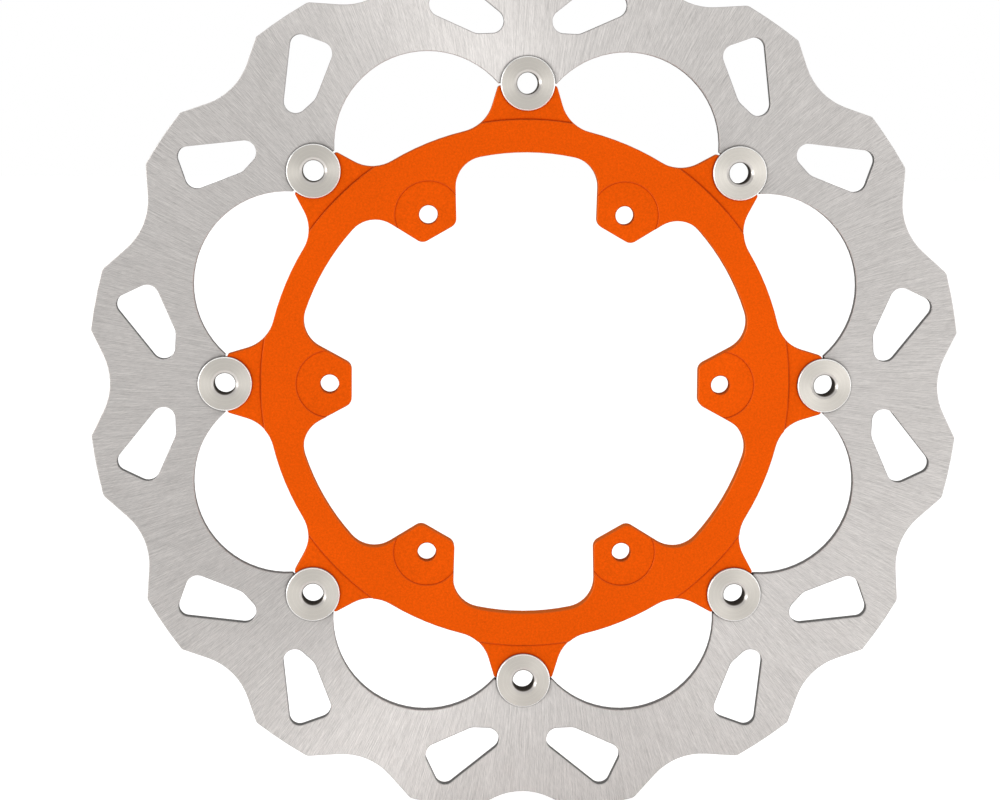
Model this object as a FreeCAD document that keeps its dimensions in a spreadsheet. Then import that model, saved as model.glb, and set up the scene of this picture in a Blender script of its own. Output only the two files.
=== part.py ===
import FreeCAD, Part
import math
import os

import Sketcher
from FreeCAD import Placement, Rotation, Vector

# A floating wave brake disc: a steel friction ring hung on an aluminium carrier by sprung buttons.
#
# Millimetres. The disc stands upright as it does on a wheel. Its axis is Y, its outer face looks
# towards -Y, and the origin is its centre on the face that seats on the wheel's hub, the plane y = 0.
# Each sketch of the flat pieces lies in the XZ plane, so "forward" below is the distance from the
# hub face towards -Y. A button is a bobbin, a bowed spring washer, a flat washer and a circlip.

SIZES = {
    # carrier, from the hub outwards
    "lug_count": 6,
    "mount_circle_radius": 71.7,
    "mount_hole_radius": 3.4,
    "lug_end_wall": 4.65,
    "lug_tip_width": 14.3,
    "lug_flare_angle": 28.5,
    "lug_corner_radius": 3.5,
    "lug_root_radius": 11.0,
    "spot_face_radius": 12.3,
    "spot_face_depth": 0.6,
    "lug_reach": 13.25,
    "rim_width": 10.25,
    "shoulder_width": 1.8,
    "arm_reach": 14.8,
    "arm_taper_angle": 16.7,
    "arm_root_radius": 14.0,
    "arm_corner_radius": 1.2,
    "front_step": 1.2,
    "back_step": 0.8,
    "carrier_chamfer": 0.3,
    # friction ring, from the buttons outwards
    "joint_gap": 0.8,
    "ear_reach": 18.6,
    "band_width": 31.4,
    "ring_thickness": 5.0,
    "scallop_radius": 23.5,
    "scallop_flank_angle": 26.0,
    "button_scallop_depth": 8.0,
    "button_crest_radius": 1.0,
    "middle_scallop_depth": 8.8,
    "middle_crest_radius": 3.0,
    "ring_chamfer": 0.25,
    # window: its outline runs round four corner circles, placed from the bays or from the crests
    "window_low_height": 3.8,
    "window_low_side": 13.1,
    "window_low_radius": 4.3,
    "window_inner_height": 4.8,
    "window_inner_side": 17.8,
    "window_inner_radius": 5.5,
    "window_top_depth": 21.7,
    "window_top_side": 31.6,
    "window_top_radius": 4.4,
    "window_outer_depth": 14.4,
    "window_outer_side": 28.8,
    "window_outer_radius": 3.8,
    # buttons
    "button_count": 8,
    "bore_radius": 3.9,
    "bore_chamfer": 1.1,
    "bore_chamfer_depth": 0.55,
    "relief_step": 0.8,
    "relief_length": 2.0,
    "relief_chamfer": 0.3,
    "barrel_wall": 3.1,
    "barrel_clearance": 0.05,
    "button_wall": 3.7,
    "head_lip": 2.85,
    "head_thickness": 1.8,
    "head_chamfer": 0.35,
    "head_clearance": 0.02,
    "spring_space": 1.0,
    "spring_thickness": 0.4,
    "spring_clearance": 0.03,
    "spring_width": 2.1,
    "washer_clearance": 0.1,
    "washer_width": 2.4,
    "washer_thickness": 1.0,
    "clip_thickness": 1.0,
    "clip_clearance": 0.05,
    "clip_width": 2.1,
    "clip_end_width": 1.3,
    "clip_opening": 3.4,
    "clip_ear_radius": 1.6,
    "clip_ear_rise": 0.2,
    "clip_ear_hole_radius": 0.75,
    "groove_depth": 0.5,
    "tail_length": 1.5,
    "tail_chamfer": 0.4,
}

# Radii and distances that several pieces share, as formulas in the sheet's names.
LUG_TIP = "(Sizes.mount_circle_radius - Sizes.mount_hole_radius - Sizes.lug_end_wall)"
RIM_INNER = "(Sizes.mount_circle_radius + Sizes.lug_reach)"
RIM_OUTER = f"({RIM_INNER} + Sizes.rim_width)"
RIM_MIDDLE = f"({RIM_INNER} + Sizes.rim_width / 2)"
SHOULDER = f"({RIM_OUTER} + Sizes.shoulder_width)"
BUTTON_CIRCLE = f"({RIM_OUTER} + Sizes.arm_reach)"
BAY_BOTTOM = f"({BUTTON_CIRCLE} + Sizes.ear_reach)"
RING_OUTER = f"({BAY_BOTTOM} + Sizes.band_width)"
ARM_TIP = f"({BUTTON_CIRCLE} - Sizes.joint_gap / 2)"
EAR_TIP = f"({BUTTON_CIRCLE} + Sizes.joint_gap / 2)"

BARREL = "(Sizes.bore_radius + Sizes.barrel_wall)"
SOCKET = f"({BARREL} + Sizes.barrel_clearance)"
EAR_HALF = f"({BARREL} + Sizes.button_wall)"
HEAD = f"({BARREL} + Sizes.head_lip)"
GROOVE = f"({BARREL} - Sizes.groove_depth)"

SEAT_BACK = "Sizes.back_step"
SEAT_FRONT = "(Sizes.back_step + Sizes.ring_thickness)"
CARRIER_FRONT = f"({SEAT_FRONT} + Sizes.front_step)"
HEAD_BACK = f"({SEAT_FRONT} + Sizes.head_clearance)"
HEAD_FRONT = f"({HEAD_BACK} + Sizes.head_thickness)"
WASHER_FRONT = f"({SEAT_BACK} - Sizes.spring_space)"
WASHER_BACK = f"({WASHER_FRONT} - Sizes.washer_thickness)"
CLIP_FRONT = f"({WASHER_BACK} - Sizes.clip_clearance)"
CLIP_BACK = f"({CLIP_FRONT} - Sizes.clip_thickness)"
GROOVE_BACK = f"({CLIP_BACK} - Sizes.clip_clearance)"
TAIL_BACK = f"({GROOVE_BACK} - Sizes.tail_length)"

HALF_PITCH = "(180 / Sizes.button_count)"

SAME = 0.01  # two radii or angles closer than this are the same one
PARALLEL = 0.999  # least cosine between directions that count as parallel

doc = FreeCAD.newDocument("FloatingDisc")
sheet = doc.addObject("Spreadsheet::Sheet", "Sizes")
for row, (alias, number) in enumerate(SIZES.items(), start=1):
    sheet.set(f"A{row}", alias)
    sheet.set(f"B{row}", str(number))
    sheet.setAlias(f"B{row}", alias)
doc.recompute()


# ---- helpers -------------------------------------------------------------------------------------


def value(formula):
    """The number that a formula in the sheet's names gives now."""
    return float(sheet.evalExpression(formula))


def origin_feature(body, role):
    return next(f for f in body.Origin.OriginFeatures if f.Role == role)


def new_body(label):
    body = doc.addObject("PartDesign::Body", label)
    body.Label = label
    return body


def turned_about(axis):
    """A placement turned about an axis, by an angle that an expression then sets."""
    return Placement(Vector(), Rotation(axis, 1))


def new_sketch(body, name, forward="0", turn="0", plane="XZ_Plane"):
    """A sketch on one of the body's own planes, moved forward and turned about its normal."""
    sketch = body.newObject("Sketcher::SketchObject", name)
    sketch.AttachmentSupport = [(origin_feature(body, plane), "")]
    sketch.MapMode = "FlatFace"
    sketch.AttachmentOffset = turned_about(Vector(0, 0, 1))
    sketch.setExpression("AttachmentOffset.Base.z", forward)
    sketch.setExpression("AttachmentOffset.Rotation.Angle", turn)
    return sketch


def dimension(sketch, kind, where, formula):
    """Adds a dimension that follows a formula."""
    index = sketch.addConstraint(Sketcher.Constraint(kind, *where, value(formula)))
    sketch.setExpression(f"Constraints[{index}]", formula)


def pin(sketch, where, x, y):
    """Fixes a point at a place given by two formulas, from the sketch's origin."""
    if x == "0":
        sketch.addConstraint(Sketcher.Constraint("PointOnObject", *where, -2))
    else:
        dimension(sketch, "DistanceX", (-1, 1, *where), x)
    if y == "0":
        sketch.addConstraint(Sketcher.Constraint("PointOnObject", *where, -1))
    else:
        dimension(sketch, "DistanceY", (-1, 1, *where), y)


def add_circle(sketch, radius, x="0", y="0"):
    centre = Vector(value(x), value(y), 0)
    circle = sketch.addGeometry(Part.Circle(centre, Vector(0, 0, 1), value(radius)))
    pin(sketch, (circle, 3), x, y)
    dimension(sketch, "Radius", (circle,), radius)


def arc_between(start, end, radius):
    """The short arc that runs anticlockwise from one point to another."""
    middle = (start + end) / 2
    half = (end - start) / 2
    rise = math.sqrt(radius**2 - half.Length**2)
    centre = middle + Vector(-half.y, half.x, 0).normalize() * rise
    first = math.atan2(start.y - centre.y, start.x - centre.x)
    last = math.atan2(end.y - centre.y, end.x - centre.x)
    if last < first:
        last += 2 * math.pi
    return Part.ArcOfCircle(Part.Circle(centre, Vector(0, 0, 1), radius), first, last)


def add_outline(sketch, points, arcs=None, hollow=()):
    """A closed outline through pinned points, given anticlockwise.

    arcs gives the radius of each side that is an arc; it bulges outwards unless the side is hollow.
    """
    arcs = arcs or {}
    places = [Vector(value(x), value(y), 0) for x, y in points]
    count = len(points)
    for side in range(count):
        ends = [places[side], places[(side + 1) % count]]
        if side in hollow:
            ends.reverse()
        if side in arcs:
            sketch.addGeometry(arc_between(*ends, value(arcs[side])))
            dimension(sketch, "Radius", (side,), arcs[side])
        else:
            sketch.addGeometry(Part.LineSegment(*ends))
    for side, (x, y) in enumerate(points):
        before = (side - 1) % count
        start = (side, 2 if side in hollow else 1)
        end = (before, 1 if before in hollow else 2)
        sketch.addConstraint(Sketcher.Constraint("Coincident", *end, *start))
        pin(sketch, start, x, y)


def add_hull(sketch, corners):
    """A closed outline stretched round corner circles (x, y, radius), given anticlockwise."""
    count = len(corners)
    centres = [Vector(value(x), value(y), 0) for x, y, _ in corners]
    radii = [value(radius) for _, _, radius in corners]
    outwards = []
    for here in range(count):
        run = centres[(here + 1) % count] - centres[here]
        lean = (radii[here] - radii[(here + 1) % count]) / run.Length
        along = run.normalize()
        outwards.append(Vector(along.y, -along.x, 0) * math.sqrt(1 - lean**2) + along * lean)
    for here in range(count):
        after = (here + 1) % count
        start = centres[here] + outwards[here] * radii[here]
        end = centres[after] + outwards[here] * radii[after]
        sketch.addGeometry(Part.LineSegment(start, end))
    for here in range(count):
        start = centres[here] + outwards[here - 1] * radii[here]
        end = centres[here] + outwards[here] * radii[here]
        sketch.addGeometry(arc_between(start, end, radii[here]))
    for here, (x, y, radius) in enumerate(corners):
        arc = count + here
        line_in = (here - 1) % count
        sketch.addConstraint(Sketcher.Constraint("Tangent", line_in, 2, arc, 1))
        sketch.addConstraint(Sketcher.Constraint("Tangent", arc, 2, here, 1))
        pin(sketch, (arc, 3), x, y)
        dimension(sketch, "Radius", (arc,), radius)


def pad(body, sketch, length, symmetric=False):
    feature = body.newObject("PartDesign::Pad", sketch.Name + "Pad")
    feature.Profile = sketch
    feature.setExpression("Length", length)
    if symmetric:
        feature.SideType = "Symmetric"
    return feature


def pocket(body, sketch, depth=None, reverse=False):
    """Cuts from the sketch towards the hub, or away from it when reversed; through all without a depth."""
    feature = body.newObject("PartDesign::Pocket", sketch.Name + "Pocket")
    feature.Profile = sketch
    feature.Reversed = reverse
    if depth:
        feature.setExpression("Length", depth)
    else:
        feature.Type = "ThroughAll"
    return feature


def repeat(body, feature, count):
    """Repeats a feature evenly about the disc's axis."""
    pattern = body.newObject("PartDesign::PolarPattern", feature.Name + "Pattern")
    pattern.Originals = [feature]
    pattern.Axis = (origin_feature(body, "Y_Axis"), [""])
    pattern.Angle = 360
    pattern.setExpression("Occurrences", count)
    body.Tip = pattern
    return pattern


def is_upright(edge):
    """True for a straight edge along the disc's axis."""
    if not isinstance(edge.Curve, Part.Line):
        return False
    return abs(edge.Curve.Direction.y) > PARALLEL


def polar(edge):
    """An edge's distance from the disc's axis, and its angle in degrees."""
    middle = edge.CenterOfMass
    return math.hypot(middle.x, middle.z), math.degrees(math.atan2(middle.z, middle.x))


def fillet(body, feature, wanted, radius):
    """Rounds the upright edges whose distance from the axis and angle pass the test."""
    doc.recompute()
    edges = enumerate(feature.Shape.Edges, start=1)
    names = [f"Edge{number}" for number, edge in edges if is_upright(edge) and wanted(*polar(edge))]
    rounded = body.newObject("PartDesign::Fillet", "Fillet")
    rounded.Base = (feature, names)
    rounded.setExpression("Radius", radius)
    doc.recompute()
    return rounded


def is_inner_corner(face, wall):
    """True where a wall rises from a flat face instead of falling away from it."""
    level = face.CenterOfMass.y
    if face.normalAt(0, 0).y < 0:
        return wall.BoundBox.YMin < level - SAME
    return wall.BoundBox.YMax > level + SAME


def break_edges(body, feature, size, wanted=None):
    """Chamfers the outer corners of the flat faces that look forward or back."""
    doc.recompute()
    shape = feature.Shape
    chosen = []
    for face in shape.Faces:
        if not isinstance(face.Surface, Part.Plane) or abs(face.Surface.Axis.y) < PARALLEL:
            continue
        for edge in face.Edges:
            walls = [wall for wall in shape.ancestorsOfType(edge, Part.Face) if not wall.isSame(face)]
            if is_inner_corner(face, walls[0]) or (wanted and not wanted(*polar(edge))):
                continue
            chosen.append(edge)
    edges = enumerate(shape.Edges, start=1)
    names = [f"Edge{number}" for number, edge in edges if any(edge.isSame(other) for other in chosen)]
    broken = body.newObject("PartDesign::Chamfer", "Chamfer")
    broken.Base = (feature, names)
    broken.setExpression("Size", size)
    doc.recompute()
    return broken


# ---- the pieces ----------------------------------------------------------------------------------


def cut_socket(body):
    """A bobbin's round seat, half in an arm of the carrier and half in an ear of the ring."""
    sketch = new_sketch(body, "Socket", CARRIER_FRONT)
    add_circle(sketch, SOCKET, x=BUTTON_CIRCLE)
    return pocket(body, sketch)


def make_carrier():
    body = new_body("carrier")

    rim = new_sketch(body, "Rim")
    add_circle(rim, RIM_OUTER)
    add_circle(rim, RIM_INNER)
    pad(body, rim, CARRIER_FRONT)

    arm = new_sketch(body, "Arm")
    tip = f"sqrt(({ARM_TIP})^2 - ({EAR_HALF})^2)"
    root = f"({EAR_HALF} + ({tip} - {RIM_MIDDLE}) * tan(Sizes.arm_taper_angle))"
    corners = [(RIM_MIDDLE, f"-{root}"), (tip, f"-{EAR_HALF}"), (tip, EAR_HALF), (RIM_MIDDLE, root)]
    add_outline(arm, corners, arcs={1: ARM_TIP})
    repeat(body, pad(body, arm, CARRIER_FRONT), "Sizes.button_count")

    lug = new_sketch(body, "Lug")
    side = "(Sizes.lug_tip_width / 2)"
    root = f"({side} + ({RIM_MIDDLE} - {LUG_TIP}) * tan(Sizes.lug_flare_angle))"
    corners = [(LUG_TIP, side), (LUG_TIP, f"-{side}"), (RIM_MIDDLE, f"-{root}"), (RIM_MIDDLE, root)]
    add_outline(lug, corners)
    whole = repeat(body, pad(body, lug, CARRIER_FRONT), "Sizes.lug_count")

    lug_corner = math.hypot(value(LUG_TIP), value(side))
    rounds = [
        (value(RIM_OUTER), "Sizes.arm_root_radius"),
        (value(RIM_INNER), "Sizes.lug_root_radius"),
        (lug_corner, "Sizes.lug_corner_radius"),
        (value(ARM_TIP), "Sizes.arm_corner_radius"),
    ]
    for reach, radius in rounds:
        whole = fillet(body, whole, lambda r, angle: abs(r - reach) < SAME, radius)

    front_step = new_sketch(body, "FrontStep", CARRIER_FRONT)
    add_circle(front_step, SHOULDER)
    add_circle(front_step, BAY_BOTTOM)
    pocket(body, front_step, "Sizes.front_step")

    back_step = new_sketch(body, "BackStep")
    add_circle(back_step, SHOULDER)
    add_circle(back_step, BAY_BOTTOM)
    pocket(body, back_step, "Sizes.back_step", reverse=True)

    spot_face = new_sketch(body, "SpotFace", CARRIER_FRONT)
    add_circle(spot_face, "Sizes.spot_face_radius", x="Sizes.mount_circle_radius")
    repeat(body, pocket(body, spot_face, "Sizes.spot_face_depth"), "Sizes.lug_count")

    mount_hole = new_sketch(body, "MountHole", CARRIER_FRONT)
    add_circle(mount_hole, "Sizes.mount_hole_radius", x="Sizes.mount_circle_radius")
    repeat(body, pocket(body, mount_hole), "Sizes.lug_count")

    whole = repeat(body, cut_socket(body), "Sizes.button_count")
    break_edges(body, whole, "Sizes.carrier_chamfer")
    return body


def cut_scallop(body, name, depth, turn):
    """A scallop in the ring's edge: a round bottom with straight flanks."""
    sketch = new_sketch(body, name, CARRIER_FRONT, turn)
    radius = "Sizes.scallop_radius"
    lean = "Sizes.scallop_flank_angle"
    bend_x = f"({RING_OUTER} - {depth} + {radius} * (1 - cos({lean})))"
    bend_y = f"({radius} * sin({lean}))"
    mouth_x = f"({RING_OUTER} + {depth})"
    mouth_y = f"({bend_y} + ({mouth_x} - {bend_x}) / tan({lean}))"
    corners = [(bend_x, f"-{bend_y}"), (mouth_x, f"-{mouth_y}"), (mouth_x, mouth_y), (bend_x, bend_y)]
    add_outline(sketch, corners, arcs={3: radius})
    return pocket(body, sketch)


def cut_bay(body, name, turn):
    """A bay's circle touches the bay bottom's radius and meets the ear's side at the button circle."""
    sketch = new_sketch(body, name, CARRIER_FRONT, turn)
    squares = f"({BAY_BOTTOM}^2 - {BUTTON_CIRCLE}^2 - {EAR_HALF}^2)"
    slack = f"({BAY_BOTTOM} - {BUTTON_CIRCLE} * cos({HALF_PITCH}) - {EAR_HALF} * sin({HALF_PITCH}))"
    centre = f"({squares} / (2 * {slack}))"
    add_circle(sketch, f"({BAY_BOTTOM} - {centre})", x=centre)
    return pocket(body, sketch)


def cut_window(body):
    """One window beside a button, and its mirror image on the button's other side."""
    sketch = new_sketch(body, "Window", CARRIER_FRONT)
    places = {
        "low": f"({BAY_BOTTOM} + Sizes.window_low_height)",
        "outer": f"({RING_OUTER} - Sizes.window_outer_depth)",
        "top": f"({RING_OUTER} - Sizes.window_top_depth)",
        "inner": f"({BAY_BOTTOM} + Sizes.window_inner_height)",
    }
    corners = [(x, f"Sizes.window_{name}_side", f"Sizes.window_{name}_radius") for name, x in places.items()]
    add_hull(sketch, corners)
    opening = pocket(body, sketch)
    mirrored = body.newObject("PartDesign::Mirrored", "WindowMirror")
    mirrored.Originals = [opening]
    mirrored.MirrorPlane = (origin_feature(body, "XY_Plane"), [""])
    body.Tip = mirrored
    return mirrored


def make_friction_ring():
    """One sector of the ring, centred on a button, then all of them joined."""
    body = new_body("friction_ring")

    blank = new_sketch(body, "Blank", SEAT_BACK)
    x = f"({RING_OUTER} * cos({HALF_PITCH}))"
    y = f"({RING_OUTER} * sin({HALF_PITCH}))"
    add_outline(blank, [("0", "0"), (x, f"-{y}"), (x, y)], arcs={1: RING_OUTER})
    pad(body, blank, "Sizes.ring_thickness")
    hollow = new_sketch(body, "Hollow", CARRIER_FRONT)
    add_circle(hollow, EAR_TIP)
    pocket(body, hollow)

    cut_bay(body, "BayBefore", f"-{HALF_PITCH}")
    cut_bay(body, "BayAfter", HALF_PITCH)
    cut_scallop(body, "ButtonScallop", "Sizes.button_scallop_depth", "0")
    cut_scallop(body, "MiddleScallopBefore", "Sizes.middle_scallop_depth", f"-{HALF_PITCH}")
    whole = cut_scallop(body, "MiddleScallopAfter", "Sizes.middle_scallop_depth", HALF_PITCH)

    crest = value(RING_OUTER)
    half_pitch = value(HALF_PITCH)

    def by_button(r, angle):
        return abs(r - crest) < SAME and abs(angle) < half_pitch / 2

    def by_middle(r, angle):
        return abs(r - crest) < SAME and half_pitch / 2 < abs(angle) < half_pitch - SAME

    def off_the_joins(r, angle):
        return abs(abs(angle) - half_pitch) > SAME

    whole = fillet(body, whole, by_button, "Sizes.button_crest_radius")
    fillet(body, whole, by_middle, "Sizes.middle_crest_radius")
    break_edges(body, cut_window(body), "Sizes.ring_chamfer", off_the_joins)
    cut_socket(body)
    doc.recompute()

    ring = body.newObject("PartDesign::PolarPattern", "AllSectors")
    ring.TransformMode = "Whole shape"
    ring.Axis = (origin_feature(body, "Y_Axis"), [""])
    ring.Angle = 360
    ring.setExpression("Occurrences", "Sizes.button_count")
    ring.Refine = True
    body.Tip = ring
    return body


def place_on_button(body, number):
    """Moves a piece made about the Y axis to one of the button positions."""
    angle = f"(360 * {number - 1} / Sizes.button_count)"
    body.Placement = turned_about(Vector(0, -1, 0))
    body.setExpression("Placement.Base.x", f"{BUTTON_CIRCLE} * cos({angle})")
    body.setExpression("Placement.Base.z", f"{BUTTON_CIRCLE} * sin({angle})")
    body.setExpression("Placement.Rotation.Angle", angle)


def make_bobbin(number):
    """The turned button body: a flanged head, a barrel bored wider from behind, a circlip groove."""
    body = new_body(f"bobbin_{number}")
    section = new_sketch(body, "Section", plane="XY_Plane")
    bore = "Sizes.bore_radius"
    mouth = "(Sizes.bore_radius + Sizes.bore_chamfer)"
    relief = "(Sizes.bore_radius + Sizes.relief_step)"
    relief_floor = f"({TAIL_BACK} + Sizes.relief_length)"
    corners = [
        (mouth, HEAD_FRONT),
        (bore, f"({HEAD_FRONT} - Sizes.bore_chamfer_depth)"),
        (bore, relief_floor),
        (relief, relief_floor),
        (relief, f"({TAIL_BACK} + Sizes.relief_chamfer)"),
        (f"({relief} + Sizes.relief_chamfer)", TAIL_BACK),
        (f"({BARREL} - Sizes.tail_chamfer)", TAIL_BACK),
        (BARREL, f"({TAIL_BACK} + Sizes.tail_chamfer)"),
        (BARREL, GROOVE_BACK),
        (GROOVE, GROOVE_BACK),
        (GROOVE, CLIP_FRONT),
        (BARREL, CLIP_FRONT),
        (BARREL, HEAD_BACK),
        (HEAD, HEAD_BACK),
        (HEAD, f"({HEAD_FRONT} - Sizes.head_chamfer)"),
        (f"({HEAD} - Sizes.head_chamfer)", HEAD_FRONT),
    ]
    add_outline(section, [(radius, f"-{forward}") for radius, forward in corners])
    turned = body.newObject("PartDesign::Revolution", "Turned")
    turned.Profile = section
    turned.ReferenceAxis = (origin_feature(body, "Y_Axis"), [""])
    turned.Angle = 360
    place_on_button(body, number)
    return body


def make_spring_washer(number):
    """A thin washer bowed about one line: its middle meets the disc and its ends the flat washer."""
    body = new_body(f"spring_washer_{number}")
    inner = f"({BARREL} + Sizes.washer_clearance)"
    outer = f"({inner} + Sizes.spring_width)"
    thickness = "Sizes.spring_thickness"
    bow = f"(Sizes.spring_space - {thickness} - 2 * Sizes.spring_clearance)"
    bend = f"(({outer}^2 + {bow}^2) / (2 * {bow}))"
    end_back = f"({WASHER_FRONT} + Sizes.spring_clearance)"
    end_front = f"({end_back} - sqrt({bend}^2 - {outer}^2) + sqrt(({bend} + {thickness})^2 - {outer}^2))"

    strip = new_sketch(body, "Strip", plane="XY_Plane")
    corners = [(f"-{outer}", f"-{end_front}"), (outer, f"-{end_front}"),
               (outer, f"-{end_back}"), (f"-{outer}", f"-{end_back}")]
    add_outline(strip, corners, arcs={0: f"({bend} + {thickness})", 2: bend}, hollow=[2])
    pad(body, strip, f"2 * {outer}", symmetric=True)

    trim = new_sketch(body, "Trim", SEAT_FRONT)
    add_circle(trim, f"2 * {outer}")
    add_circle(trim, outer)
    add_circle(trim, inner)
    pocket(body, trim)
    place_on_button(body, number)
    return body


def make_flat_washer(number):
    body = new_body(f"flat_washer_{number}")
    inner = f"({BARREL} + Sizes.washer_clearance)"
    plate = new_sketch(body, "Plate", WASHER_BACK)
    add_circle(plate, f"({inner} + Sizes.washer_width)")
    add_circle(plate, inner)
    pad(body, plate, "Sizes.washer_thickness")
    place_on_button(body, number)
    return body


def make_circlip(number):
    """An external circlip: an open ring, widest opposite its gap, with two drilled ears."""
    body = new_body(f"circlip_{number}")
    inner = f"({GROOVE} + Sizes.clip_clearance)"
    lopsided = "((Sizes.clip_width - Sizes.clip_end_width) / 2)"
    outer = f"({inner} + (Sizes.clip_width + Sizes.clip_end_width) / 2)"
    gap_side = "(Sizes.clip_opening / 2)"
    ear_y = f"({gap_side} + Sizes.clip_ear_radius)"
    ear_x = f"sqrt(({inner} + Sizes.clip_ear_rise + Sizes.clip_ear_radius)^2 - {ear_y}^2)"

    band = new_sketch(body, "Band", CLIP_BACK)
    add_circle(band, outer, x=f"-{lopsided}")
    add_circle(band, inner)
    pad(body, band, "Sizes.clip_thickness")

    ears = new_sketch(body, "Ears", CLIP_BACK)
    add_circle(ears, "Sizes.clip_ear_radius", ear_x, ear_y)
    add_circle(ears, "Sizes.clip_ear_radius", ear_x, f"-{ear_y}")
    pad(body, ears, "Sizes.clip_thickness")

    cut = new_sketch(body, "Cut", CLIP_FRONT)
    far = f"(2 * {outer})"
    add_outline(cut, [("0", f"-{gap_side}"), (far, f"-{gap_side}"), (far, gap_side), ("0", gap_side)])
    add_circle(cut, "Sizes.clip_ear_hole_radius", ear_x, ear_y)
    add_circle(cut, "Sizes.clip_ear_hole_radius", ear_x, f"-{ear_y}")
    pocket(body, cut)
    place_on_button(body, number)
    return body


def check_document():
    """Stops if anything in the document has failed."""
    for item in doc.Objects:
        if "Invalid" in item.State or "Error" in item.State:
            raise RuntimeError(f"{item.Label} failed: {item.State}")


nodes = [make_carrier(), make_friction_ring()]
for number in range(1, int(SIZES["button_count"]) + 1):
    nodes.append(make_bobbin(number))
    nodes.append(make_spring_washer(number))
    nodes.append(make_flat_washer(number))
    nodes.append(make_circlip(number))
doc.recompute()
check_document()

os.makedirs("parts", exist_ok=True)
for node in nodes:
    if node.Shape.isNull() or not node.Shape.isValid():
        raise RuntimeError(f"{node.Label} has no valid shape")
    node.Shape.exportStep(f"parts/{node.Label}.step")
    print(node.Label, len(node.Shape.Solids), round(node.Shape.Volume, 2), node.Shape.BoundBox)
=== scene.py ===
import math

import bpy
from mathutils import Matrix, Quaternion, Vector


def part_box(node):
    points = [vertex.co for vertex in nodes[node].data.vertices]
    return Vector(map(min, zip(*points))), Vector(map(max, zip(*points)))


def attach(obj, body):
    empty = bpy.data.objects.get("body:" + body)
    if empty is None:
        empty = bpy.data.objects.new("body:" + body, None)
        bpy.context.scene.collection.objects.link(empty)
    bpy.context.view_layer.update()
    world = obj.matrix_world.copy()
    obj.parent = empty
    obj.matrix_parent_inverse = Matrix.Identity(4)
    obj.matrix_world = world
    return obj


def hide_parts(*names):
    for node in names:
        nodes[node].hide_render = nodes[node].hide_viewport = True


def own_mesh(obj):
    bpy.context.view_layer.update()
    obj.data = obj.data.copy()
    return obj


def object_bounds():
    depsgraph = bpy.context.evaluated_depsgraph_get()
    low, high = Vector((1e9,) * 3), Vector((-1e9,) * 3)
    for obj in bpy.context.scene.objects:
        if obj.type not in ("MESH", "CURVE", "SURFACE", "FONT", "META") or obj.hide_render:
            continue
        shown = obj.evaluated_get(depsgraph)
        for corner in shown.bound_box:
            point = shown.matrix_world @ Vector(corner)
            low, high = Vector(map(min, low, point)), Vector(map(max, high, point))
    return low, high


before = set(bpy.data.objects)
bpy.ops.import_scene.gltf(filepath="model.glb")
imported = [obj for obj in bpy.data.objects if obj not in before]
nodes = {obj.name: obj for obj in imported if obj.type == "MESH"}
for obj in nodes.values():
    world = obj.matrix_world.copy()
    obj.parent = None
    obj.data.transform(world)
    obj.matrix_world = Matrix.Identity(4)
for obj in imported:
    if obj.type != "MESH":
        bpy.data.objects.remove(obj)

cad_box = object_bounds()
floor_height = cad_box[0].z
disc_front = Vector((0.0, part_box("friction_ring")[0].y, 0.0))

# ---------------------------------------------------------------- camera
CAMERA_DISTANCE = 1.21
CAMERA_AZIMUTH = math.radians(-2.62)
CAMERA_ELEVATION = math.radians(5.78)
CAMERA_ROLL = math.radians(0.406)
CAMERA_AIM = Vector((-0.00929, 0.0, -0.00578))
CAMERA_LENS = 118.72
CAMERA_CLIP_END = 50


def from_front(azimuth, elevation):
    """The direction from the disc towards a viewer; azimuth 0 is square on, positive is to the right."""
    flat = math.cos(elevation)
    return Vector((math.sin(azimuth) * flat, -math.cos(azimuth) * flat, math.sin(elevation)))


def make_camera():
    data = bpy.data.cameras.new("camera")
    data.lens = CAMERA_LENS
    data.clip_end = CAMERA_CLIP_END
    camera = bpy.data.objects.new("camera", data)
    bpy.context.scene.collection.objects.link(camera)
    camera.location = disc_front + from_front(CAMERA_AZIMUTH, CAMERA_ELEVATION) * CAMERA_DISTANCE
    ahead = disc_front + CAMERA_AIM - camera.location
    camera.rotation_mode = "QUATERNION"
    camera.rotation_quaternion = ahead.to_track_quat("-Z", "Y") @ Quaternion((0, 0, 1), CAMERA_ROLL)
    bpy.context.scene.camera = camera


# ---------------------------------------------------------------- node helpers
NOISE_SPAN = (0.3, 0.7)  # most of a noise's values lie in here
SHUT_SKY, OPEN_SKY = 0.42, 0.88  # ambient occlusion at the bottom of a corner, and clear of it
SKY_SAMPLES = 12


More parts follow.
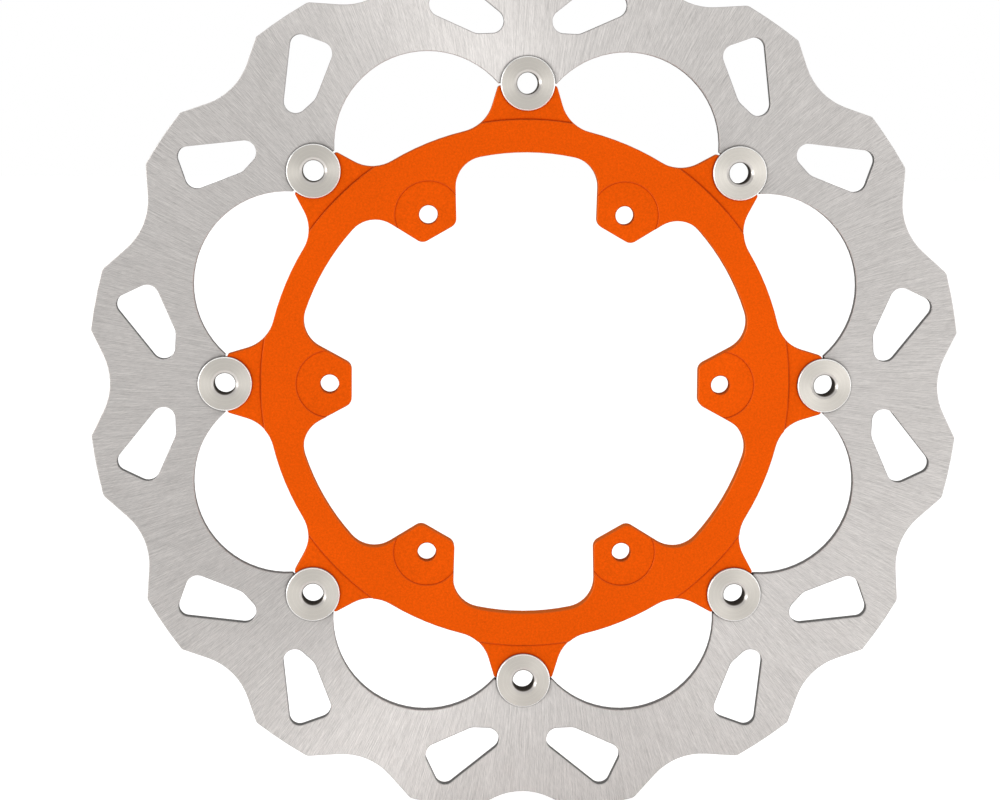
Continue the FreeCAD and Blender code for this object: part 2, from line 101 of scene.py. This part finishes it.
class Shader:
    """One node tree under construction. Inputs take a number, a colour or another node's output."""

    def __init__(self, owner):
        owner.use_nodes = True
        self.owner = owner
        self.tree = owner.node_tree

    def put(self, socket, value):
        if isinstance(value, bpy.types.NodeSocket):
            self.tree.links.new(value, socket)
        else:
            socket.default_value = value

    def add(self, kind, inputs=None, **settings):
        node = self.tree.nodes.new("ShaderNode" + kind)
        for name, value in settings.items():
            setattr(node, name, value)
        for name, value in (inputs or {}).items():
            self.put(node.inputs[name], value)
        return node

    def math(self, operation, *values):
        node = self.add("Math", operation=operation)
        for socket, value in zip(node.inputs, values):
            self.put(socket, value)
        return node.outputs[0]

    def vector(self, x, y, z):
        return self.add("CombineXYZ", {"X": x, "Y": y, "Z": z}).outputs[0]

    def noise(self, vector, scale, detail=2.0, roughness=0.5):
        inputs = {"Vector": vector, "Scale": scale, "Detail": detail, "Roughness": roughness}
        return self.add("TexNoise", inputs).outputs["Fac"]

    def spread(self, value, low, high, to_low, to_high):
        inputs = {"Value": value, "From Min": low, "From Max": high, "To Min": to_low, "To Max": to_high}
        return self.add("MapRange", inputs).outputs["Result"]

    def vary(self, noise, to_low, to_high):
        return self.spread(noise, *NOISE_SPAN, to_low, to_high)

    def mix(self, share, first, second, blend="MIX"):
        node = self.add("Mix", data_type="RGBA", blend_type=blend)
        self.put(node.inputs[0], share)
        self.put(node.inputs[6], first)
        self.put(node.inputs[7], second)
        return node.outputs[2]

    def shaded(self, colour, value):
        return self.mix(1.0, colour, self.vector(value, value, value), "MULTIPLY")

    def bump(self, height, distance, strength):
        inputs = {"Height": height, "Distance": distance, "Strength": strength}
        return self.add("Bump", inputs).outputs["Normal"]

    def crevice(self, distance, depth):
        """How deep in a corner narrower than distance a point lies: 0 on open faces, depth at the bottom."""
        inputs = {"Distance": distance}
        sky = self.add("AmbientOcclusion", inputs, samples=SKY_SAMPLES).outputs["AO"]
        return self.spread(sky, SHUT_SKY, OPEN_SKY, depth, 0.0)

    def facing(self):
        """How squarely a point faces along the disc's axis: 1 on flat faces, 0.7 to 0.9 on chamfers and 0 on
        cut walls."""
        normal = self.add("NewGeometry").outputs["True Normal"]
        return self.math("ABSOLUTE", self.add("SeparateXYZ", {"Vector": normal}).outputs["Y"])

    def beside_axis(self, point, centre, scale):
        """How far a coordinate lies to the right of an axis along Y, and above it, in metres."""
        parts = self.add("SeparateXYZ", {"Vector": point}).outputs
        return [
            self.math("MULTIPLY", self.math("SUBTRACT", parts[axis], centre), scale)
            for axis in ("X", "Z")]

    def length(self, across, upward):
        squares = [self.math("MULTIPLY", side, side) for side in (across, upward)]
        return self.math("SQRT", self.math("ADD", *squares))

    def around_axis(self):
        return self.add("Tangent", direction_type="RADIAL", axis="Y").outputs[0]


def shade(name):
    shader = Shader(bpy.data.materials.new(name))
    shader.surface = shader.tree.nodes["Principled BSDF"]
    return shader


def finish(shader, **inputs):
    """Sets the surface's sockets, with underscores for spaces, and returns the material."""
    for name, value in inputs.items():
        shader.put(shader.surface.inputs[name.replace("_", " ")], value)
    return shader.owner


# ---------------------------------------------------------------- materials
GROUND_STEEL = (0.676, 0.649, 0.629, 1)
# Dark tone of the cut walls: partly the cut edge's own scale, partly painted shade.
CUT_STEEL_AND_SHADE = (0.165, 0.16, 0.155, 1)
STEEL_CREVICE = 0.0011
STEEL_LINES_THROUGH = 900.0  # the lines' scale through the ring's thickness
FINE_SHARE, CROSSING_SHARE = 0.6, 0.4

ANODISED = (0.680, 0.086, 0.0025, 1)
ANODISED_CHAMFER = (0.66, 0.11, 0.012, 1)
ANODISED_WALL = (0.47, 0.098, 0.016, 1)
# Painted shade: dark red in corners narrower than ANODISED_CREVICE, such as at the step onto the arms.
ANODISED_CORNER_SHADE = (0.36, 0.004, 0.0, 1)
ANODISED_CREVICE = 0.0009

TURNED_STEEL = (0.500, 0.474, 0.434, 1)
# Painted highlight: the near-white tone of the heads' rim chamfers.
BUTTON_RIM_HIGHLIGHT = (0.95, 0.94, 0.92, 1)
# Painted shade: the heads' darker side walls, and the dark lip and walls of the bore.
BUTTON_WALL_SHADE = (0.30, 0.285, 0.27, 1)
COUNTERSINK = (0.56, 0.53, 0.50, 1)
BORE_LIP_SHADE = (0.09, 0.08, 0.07, 1)
BORE_WALL_SHADE = (0.095, 0.082, 0.072, 1)
BORE_LIP_RADII = (0.0040, 0.0043)  # the lip's painted shade fades out between these
BORE_RADII = (0.0054, 0.0060)  # and the bore's tones between these
BORE_POLISH = 0.04  # how much less rough than the face
RINGS_PER_METRE = 3000.0
BUTTON_CREVICE = 0.0006

SPRING_STEEL = (0.20, 0.20, 0.21, 1)
ZINC = (0.60, 0.61, 0.62, 1)

CHAMFER_FACING = (0.89, 0.97)  # facing of chamfers, and of flat faces
WALL_FACING = (0.30, 0.55)  # facing of cut walls, and of anything flatter
CREVICE_SHARE = 0.92
SMALLEST_RADIUS = 1e-6


def times(colour, factor):
    return tuple(c * factor for c in colour[:3]) + (1,)


def worked(s, colour, value, chamfer, wall, corner, reach):
    """The colour varied by value, with the tones given for chamfers and cut walls, painted shade in corners
    narrower than reach, and how metallic it is: fully, except on cut walls."""
    facing = s.facing()
    varied = s.shaded(colour, value)
    on_chamfers = s.mix(s.spread(facing, *CHAMFER_FACING, 1.0, 0.0), varied, chamfer)
    on_walls = s.mix(s.spread(facing, *WALL_FACING, 1.0, 0.0), on_chamfers, wall)
    # Painted shade: the corner tone is mixed in where ambient occlusion finds a narrow corner.
    with_corner_shade = s.mix(s.crevice(reach, CREVICE_SHARE), on_walls, corner)
    return with_corner_shade, s.spread(facing, *WALL_FACING, 0.0, 1.0)


def ground_stainless():
    """Satin steel, ground in fine lines that run outwards from the disc's axis, with dark cut walls, partly
    their own tone and partly painted shade, and painted shade in narrow corners.
    """
    s = shade("ground_stainless_finish")
    place = s.add("TexCoord").outputs["Object"]
    across, upward = s.beside_axis(place, centre=0.0, scale=1.0)
    radius = s.length(across, upward)
    safe = s.math("MAXIMUM", radius, SMALLEST_RADIUS)
    east = s.math("DIVIDE", across, safe)
    north = s.math("DIVIDE", upward, safe)
    depth = s.add("SeparateXYZ", {"Vector": place}).outputs["Y"]
    through = s.math("MULTIPLY", depth, STEEL_LINES_THROUGH)

    def lines(around, along, twist):
        """Noise with the given scales around and along the radius, in lines twisted off it."""
        swing = s.math("MULTIPLY", radius, twist)
        turned_east = s.math("SUBTRACT", east, s.math("MULTIPLY", north, swing))
        turned_north = s.math("ADD", north, s.math("MULTIPLY", east, swing))
        place_on_ring = s.vector(
            s.math("MULTIPLY", turned_east, around),
            s.math("MULTIPLY", turned_north, around),
            s.math("ADD", s.math("MULTIPLY", radius, along), through))
        return s.noise(place_on_ring, scale=1.0, detail=3.0, roughness=0.65)

    fine = lines(around=1050.0, along=80.0, twist=0.4)
    crossing = lines(around=750.0, along=420.0, twist=-0.8)
    both = s.math("ADD", s.math("MULTIPLY", fine, FINE_SHARE), s.math("MULTIPLY", crossing, CROSSING_SHARE))
    patches = s.noise(place, scale=28.0)
    value = s.math("MULTIPLY", s.vary(both, 0.66, 1.34), s.vary(patches, 0.985, 1.015))
    # Painted shade: near-black in corners narrower than STEEL_CREVICE, such as round the buttons' heads; the
    # chamfers' slightly darker tone is a painted dark reflection; the cut walls' dark tone is partly painted
    # shade.
    colour, metal = worked(
        s, GROUND_STEEL, value, chamfer=times(GROUND_STEEL, 0.95), wall=CUT_STEEL_AND_SHADE,
        corner=times(GROUND_STEEL, 0.02), reach=STEEL_CREVICE)
    return finish(
        s, Base_Color=colour, Metallic=metal, Roughness=s.vary(both, 0.585, 0.525),
        Specular_IOR_Level=0.0, Anisotropic=0.94, Tangent=s.around_axis(),
        Normal=s.bump(both, distance=0.00002, strength=0.2))


def anodised_aluminium():
    """Orange anodising over a fine blasted surface, with darker milled walls and painted shade in narrow
    corners.
    """
    s = shade("anodised_aluminium_finish")
    place = s.add("TexCoord").outputs["Object"]
    grain = s.noise(place, scale=1300.0, detail=3.0, roughness=0.75)
    patches = s.noise(place, scale=22.0, detail=3.0, roughness=0.55)
    value = s.math("MULTIPLY", s.vary(grain, 0.84, 1.16), s.vary(patches, 0.97, 1.03))
    colour, metal = worked(
        s, ANODISED, value, chamfer=ANODISED_CHAMFER, wall=ANODISED_WALL,
        corner=ANODISED_CORNER_SHADE, reach=ANODISED_CREVICE)
    return finish(
        s, Base_Color=colour, Metallic=metal, Roughness=s.vary(grain, 0.50, 0.58),
        Specular_IOR_Level=0.0, Normal=s.bump(grain, distance=0.00004, strength=0.25))


def turned_steel():
    """Turned steel: fine rings round each button's own axis, with a painted highlight at its rims and
    painted shade on its side walls, down its bore and in its corners.
    """
    s = shade("turned_steel_finish")
    low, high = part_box("bobbin_1")
    place = s.add("TexCoord").outputs["Generated"]
    radius = s.length(*s.beside_axis(place, centre=0.5, scale=high.x - low.x))
    outwards = s.vector(s.math("MULTIPLY", radius, RINGS_PER_METRE), 0.0, 0.0)
    rings = s.noise(outwards, scale=1.0, detail=3.0, roughness=0.6)
    in_bore = s.spread(radius, *BORE_RADII, 1.0, 0.0)
    countersink_and_lip_shade = s.mix(s.spread(radius, *BORE_LIP_RADII, 1.0, 0.0), COUNTERSINK, BORE_LIP_SHADE)
    # Painted highlight on the rim chamfers; painted shade on the side walls, the bore's lip and walls, and
    # in corners narrower than BUTTON_CREVICE.
    colour, metal = worked(
        s, TURNED_STEEL, s.vary(rings, 0.92, 1.08), chamfer=s.mix(in_bore, BUTTON_RIM_HIGHLIGHT, countersink_and_lip_shade),
        wall=s.mix(in_bore, BUTTON_WALL_SHADE, BORE_WALL_SHADE), corner=times(TURNED_STEEL, 0.1), reach=BUTTON_CREVICE)
    polish = s.math("MULTIPLY", in_bore, BORE_POLISH)
    return finish(
        s, Base_Color=colour, Metallic=metal,
        Roughness=s.math("SUBTRACT", s.vary(rings, 0.39, 0.33), polish),
        Specular_IOR_Level=0.0, Anisotropic=0.6, Anisotropic_Rotation=0.25, Tangent=s.around_axis(),
        Normal=s.bump(rings, distance=0.00001, strength=0.25))


def grained_metal(name, colour, scale, shades, roughness, relief):
    """Bare metal with one fine grain, which varies its shade, roughness and relief."""
    s = shade(name)
    place = s.add("TexCoord").outputs["Object"]
    grain = s.noise(place, scale, detail=3.0, roughness=0.6)
    return finish(
        s, Base_Color=s.shaded(colour, s.vary(grain, *shades)), Metallic=1.0,
        Roughness=s.vary(grain, *roughness), Normal=s.bump(grain, distance=0.00001, strength=relief))


def spring_steel():
    """Dark, lightly oiled spring steel with rolled grain."""
    return grained_metal(
        "spring_steel_finish", SPRING_STEEL, scale=2200.0, shades=(0.88, 1.12), roughness=(0.30, 0.42),
        relief=0.3)


def zinc_plate():
    """Bright zinc plate with a soft mottle."""
    return grained_metal(
        "zinc_plate_finish", ZINC, scale=420.0, shades=(0.93, 1.06), roughness=(0.26, 0.36), relief=0.2)


FINISHES = {
    "anodised_aluminium": anodised_aluminium,
    "ground_stainless": ground_stainless,
    "turned_steel": turned_steel,
    "spring_steel": spring_steel,
    "zinc_plated_steel": zinc_plate,
}


def dress_nodes():
    made = {slot: make() for slot, make in FINISHES.items()}
    for node in nodes.values():
        for slot in node.material_slots:
            slot.material = made[slot.material.name]


# ---------------------------------------------------------------- spring washers
BUTTON_COUNT = 8


def make_springs():
    """Each bowed washer is copied into a piece of its own that rides on its button, in place of the imported
    washer.
    """
    for number in range(1, BUTTON_COUNT + 1):
        washer = f"spring_washer_{number}"
        piece = bpy.data.objects.new(f"bowed_washer_{number}", nodes[washer].data.copy())
        bpy.context.scene.collection.objects.link(piece)
        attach(piece, f"button_{number}")
        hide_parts(washer)
        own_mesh(piece)


# ---------------------------------------------------------------- stage
WHITE = (1, 1, 1, 1)
WORLD_LIGHT = 0.655
WORLD_RISE_RIGHT = 0.11
WORLD_RISE_UP = 0.42
BACKDROP_SPAN = (0.2, 0.8)  # how far a reflection points backwards as it turns from the room to white
FLOOR_SIZE = 12
FLOOR_PAPER = (0.82, 0.82, 0.82, 1)
FLOOR_ROUGHNESS = 0.9
FLOOR_GLOW = 0.39

# name, azimuth and elevation in degrees, distance, width and height, watts
LAMPS = (
    ("key_left", -42, -1.5, 1.7, (0.80, 0.20), 4.1),
    ("fill_right", 24, 3, 1.7, (0.80, 0.30), 2.6),
    ("edge_left", -90, 10, 1.0, (0.40, 0.90), 3.5),
    ("edge_right", 90, 10, 1.0, (0.40, 0.90), 1.5),
)


def make_world():
    """A soft room, brighter above, in front of a white background."""
    world = bpy.data.worlds.new("studio")
    bpy.context.scene.world = world
    s = Shader(world)
    towards = s.add("SeparateXYZ", {"Vector": s.add("TexCoord").outputs["Generated"]}).outputs
    level = s.math("MULTIPLY_ADD", towards["X"], WORLD_RISE_RIGHT, WORLD_LIGHT)
    room = s.math("MULTIPLY_ADD", towards["Z"], WORLD_RISE_UP, level)
    path = s.add("LightPath").outputs
    behind = s.spread(towards["Y"], *BACKDROP_SPAN, 0.0, 1.0)
    straight = s.math("MAXIMUM", path["Is Camera Ray"], path["Is Transmission Ray"])
    white = s.math("MAXIMUM", straight, s.math("MULTIPLY", path["Is Glossy Ray"], behind))
    background = s.tree.nodes["Background"]
    background.inputs["Color"].default_value = WHITE
    strength = s.math("ADD", s.math("MULTIPLY", room, s.math("SUBTRACT", 1.0, white)), white)
    s.put(background.inputs["Strength"], strength)


def make_floor():
    bpy.ops.mesh.primitive_plane_add(size=FLOOR_SIZE, location=(0, 0, floor_height))
    floor = bpy.context.object
    floor.name = "floor"
    s = shade("floor_paper")
    path = s.add("LightPath").outputs
    seen = s.math("MAXIMUM", path["Is Camera Ray"], path["Is Transmission Ray"])
    shown = s.math("MAXIMUM", seen, path["Is Glossy Ray"])
    paper = finish(
        s, Base_Color=FLOOR_PAPER, Roughness=FLOOR_ROUGHNESS, Specular_IOR_Level=0.0,
        Emission_Color=WHITE, Emission_Strength=s.math("MULTIPLY", shown, FLOOR_GLOW))
    floor.data.materials.append(paper)


def make_lamp(name, azimuth, elevation, distance, size, power):
    data = bpy.data.lights.new(name, "AREA")
    data.shape = "RECTANGLE"
    data.size, data.size_y = size
    data.energy = power
    lamp = bpy.data.objects.new(name, data)
    bpy.context.scene.collection.objects.link(lamp)
    lamp.location = from_front(math.radians(azimuth), math.radians(elevation)) * distance
    lamp.rotation_mode = "QUATERNION"
    lamp.rotation_quaternion = (-lamp.location).to_track_quat("-Z", "Y")


def make_stage():
    make_world()
    make_floor()
    for lamp in LAMPS:
        make_lamp(*lamp)
    bpy.context.scene.view_settings.view_transform = "Standard"


make_camera()
dress_nodes()
make_springs()
make_stage()
